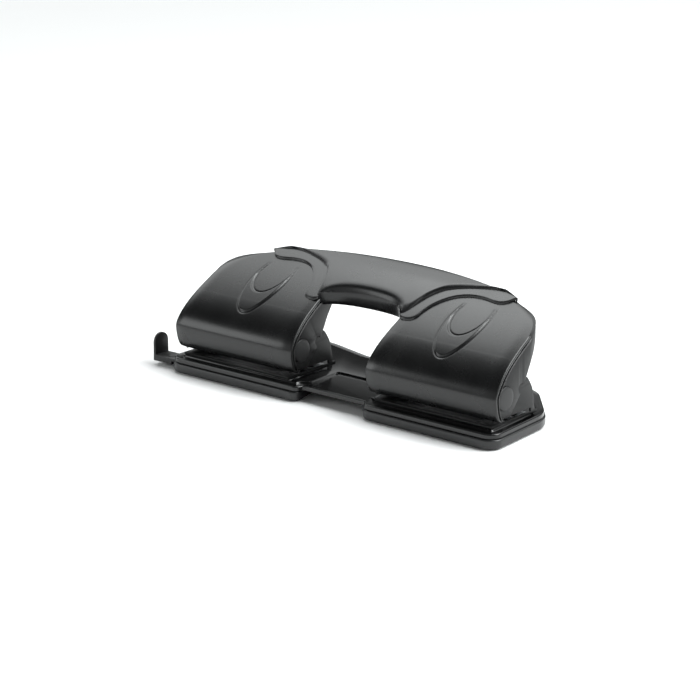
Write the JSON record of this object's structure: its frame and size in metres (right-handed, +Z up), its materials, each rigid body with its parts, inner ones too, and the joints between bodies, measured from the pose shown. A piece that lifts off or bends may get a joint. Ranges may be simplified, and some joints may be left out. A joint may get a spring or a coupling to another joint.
{
  "type": "hole punch",
  "caption": "Desk hole punch: two sprung punch heads under pressed hoods on one base, worked by a shared handle, with a sliding paper guide and a chip tray.",
  "frame": {"origin": "on the desk surface, in the middle plane between the two heads and midway between the front and back of the base", "axes": "+X along the base towards the end without the paper guide, +Y to the back, away from the side the paper enters, +Z up"},
  "size_m": [0.283, 0.0948, 0.078],
  "materials": {
    "hood_enamel": "satin-gloss black stove enamel on pressed steel",
    "base_enamel": "gloss black enamel on pressed steel",
    "frame_enamel": "semi-matt black enamel on folded steel",
    "handle_plastic": "satin black moulded plastic",
    "tray_plastic": "satin dark grey moulded plastic",
    "guide_plastic": "matt black moulded plastic",
    "cap_plastic": "matt black moulded plastic",
    "foot_rubber": "matt black rubber",
    "zinc_steel": "zinc-plated pressed steel",
    "bright_steel": "ground hardened steel",
    "spring_steel": "drawn spring wire"
  },
  "bodies": {
    "base": {"base_plate": "base_enamel", "guide_keepers": "zinc_steel", "die_plate_left": "zinc_steel", "die_plate_right": "zinc_steel", "head_frame_left": "frame_enamel", "head_frame_right": "frame_enamel", "pin_guide_left": "zinc_steel", "pin_guide_right": "zinc_steel", "frame_rivets_left": "frame_enamel", "frame_rivets_right": "frame_enamel", "pivot_axle_left": "bright_steel", "pivot_axle_right": "bright_steel", "return_spring_1": "spring_steel", "return_spring_2": "spring_steel", "return_spring_3": "spring_steel", "return_spring_4": "spring_steel"},
    "lever": {"lever_frame_left": "frame_enamel", "lever_frame_right": "frame_enamel", "press_rod_left": "bright_steel", "press_rod_right": "bright_steel", "hood_cover_left": "hood_enamel", "hood_cover_right": "hood_enamel", "pivot_cap_1": "cap_plastic", "pivot_cap_2": "cap_plastic", "pivot_cap_3": "cap_plastic", "pivot_cap_4": "cap_plastic", "handle_strap": "zinc_steel", "handle_screws": "zinc_steel", "handle_grip": "handle_plastic"},
    "pin_1": {"punch_pin_1": "bright_steel"},
    "pin_2": {"punch_pin_2": "bright_steel"},
    "pin_3": {"punch_pin_3": "bright_steel"},
    "pin_4": {"punch_pin_4": "bright_steel"},
    "tray": {"chip_tray": "tray_plastic", "rubber_feet": "foot_rubber"},
    "guide": {"paper_guide": "guide_plastic"}
  },
  "joints": [
    {"name": "handle_press", "type": "hinge", "parent": "base", "child": "lever", "pos_m": [0, -0.027, 0.0276], "axis": [-1, 0, 0], "range_deg": [0, 17], "stiffness_Nm_per_rad": 2.9, "springref_deg": -17.19},
    {"name": "pin_1_travel", "type": "slide", "parent": "base", "child": "pin_1", "axis": [0, 0, -1], "range_m": [0, 0.0052], "deforming": ["return_spring_1"]},
    {"name": "pin_2_travel", "type": "slide", "parent": "base", "child": "pin_2", "axis": [0, 0, -1], "range_m": [0, 0.0052], "deforming": ["return_spring_2"]},
    {"name": "pin_3_travel", "type": "slide", "parent": "base", "child": "pin_3", "axis": [0, 0, -1], "range_m": [0, 0.0052], "deforming": ["return_spring_3"]},
    {"name": "pin_4_travel", "type": "slide", "parent": "base", "child": "pin_4", "axis": [0, 0, -1], "range_m": [0, 0.0052], "deforming": ["return_spring_4"]},
    {"name": "guide_slide", "type": "slide", "parent": "base", "child": "guide", "axis": [1, 0, 0], "range_m": [-0.0165, 0.0155]},
    {"name": "tray_release", "type": "slide", "parent": "base", "child": "tray", "axis": [0, 0, -1], "range_m": [0, 0.015]}
  ],
  "couplings": [
    {"joint": "pin_1_travel", "follows": "handle_press", "m_per_rad": 0.01719},
    {"joint": "pin_2_travel", "follows": "handle_press", "m_per_rad": 0.01719},
    {"joint": "pin_3_travel", "follows": "handle_press", "m_per_rad": 0.01719},
    {"joint": "pin_4_travel", "follows": "handle_press", "m_per_rad": 0.01719}
  ]
}
